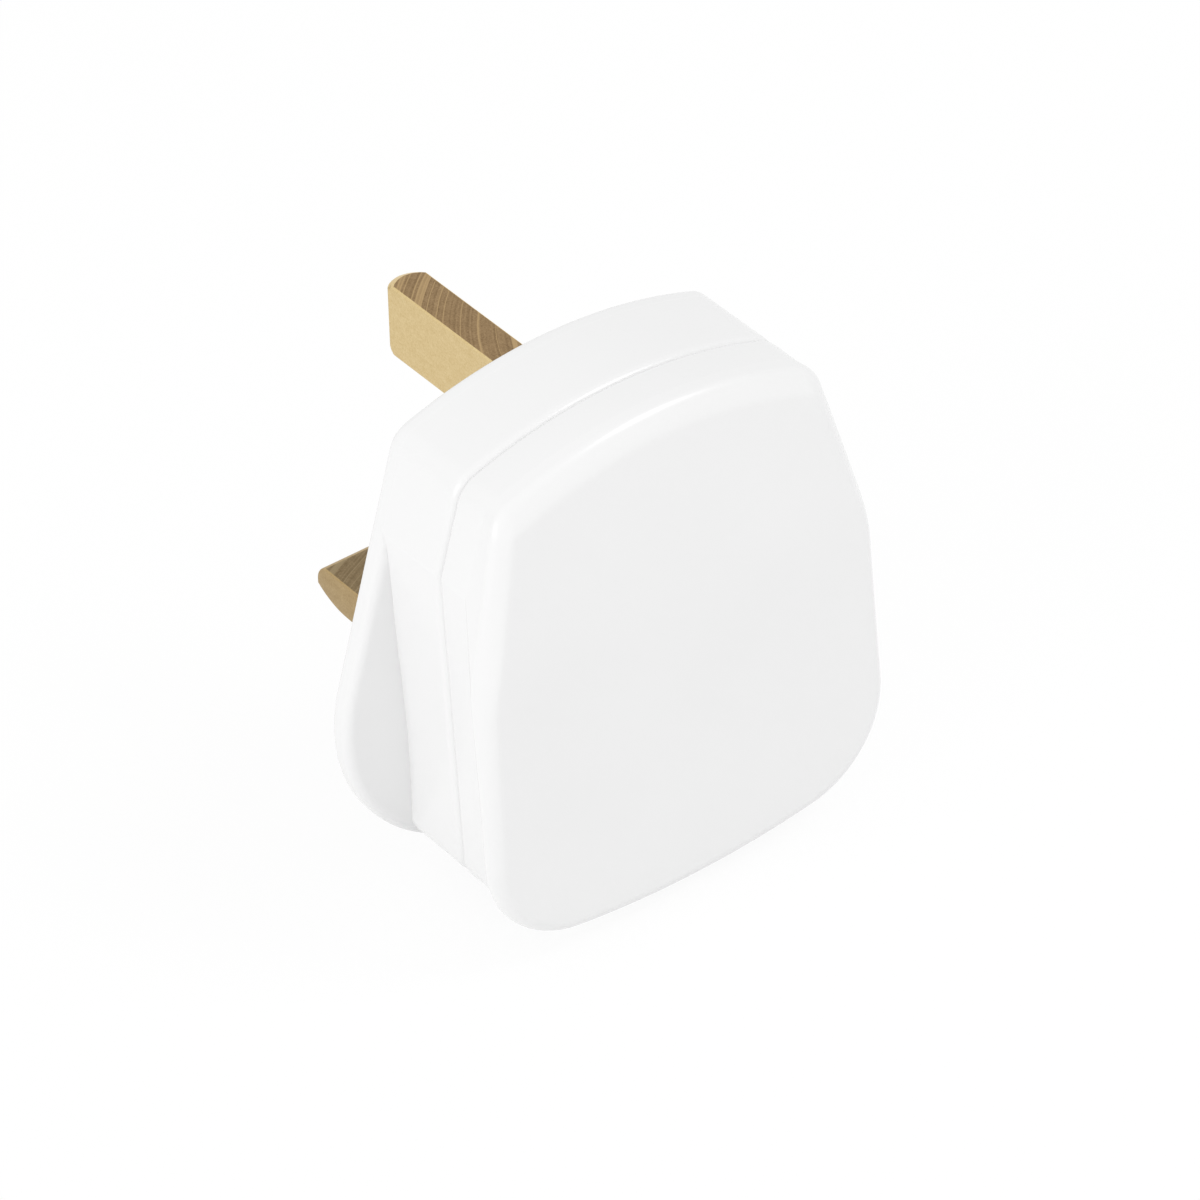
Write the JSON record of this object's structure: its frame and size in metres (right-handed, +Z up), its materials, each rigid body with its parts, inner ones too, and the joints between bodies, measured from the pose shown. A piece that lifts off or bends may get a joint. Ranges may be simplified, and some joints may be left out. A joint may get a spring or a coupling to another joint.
{
  "type": "uk three pin plug",
  "caption": "Rewireable mains plug with flat brass pins, a flanged base and a flared cover, holding a cartridge fuse, screw terminals and a cord grip.",
  "frame": {"origin": "on the pin face, midway between the two pole pins", "axes": "+Y along the pins into the socket, +Z up to the earth pin, +X to the live side"},
  "size_m": [0.0516, 0.0445, 0.0518],
  "materials": {
    "white_plastic": "semi-gloss moulded",
    "grey_plastic": "moulded, slightly grained",
    "black_plastic": "moulded, satin",
    "fibre": "pressed fibre",
    "brass": "sawn and drawn, satin",
    "plated_steel": "zinc plated",
    "bronze": "rolled spring strip",
    "fuse_tube": "glazed ceramic",
    "plated_brass": "nickel plated",
    "fuse_wire": "drawn wire"
  },
  "bodies": {
    "root": {"base": "white_plastic", "cover": "white_plastic", "cord_grip_bar": "grey_plastic", "neutral_pin_sleeve": "black_plastic", "live_pin_sleeve": "black_plastic", "cover_screw_washer": "fibre", "earth_pin": "brass", "neutral_pin": "brass", "live_pin": "brass", "live_terminal": "brass", "cover_nut": "brass", "cover_screw": "plated_steel", "earth_terminal_screw": "plated_steel", "neutral_terminal_screw": "plated_steel", "live_terminal_screw": "plated_steel", "cord_grip_screws": "plated_steel", "upper_fuse_clip": "bronze", "lower_fuse_clip": "bronze", "fuse_barrel": "fuse_tube", "upper_fuse_cap": "plated_brass", "lower_fuse_cap": "plated_brass", "fuse_element": "fuse_wire"}
  },
  "joints": []
}
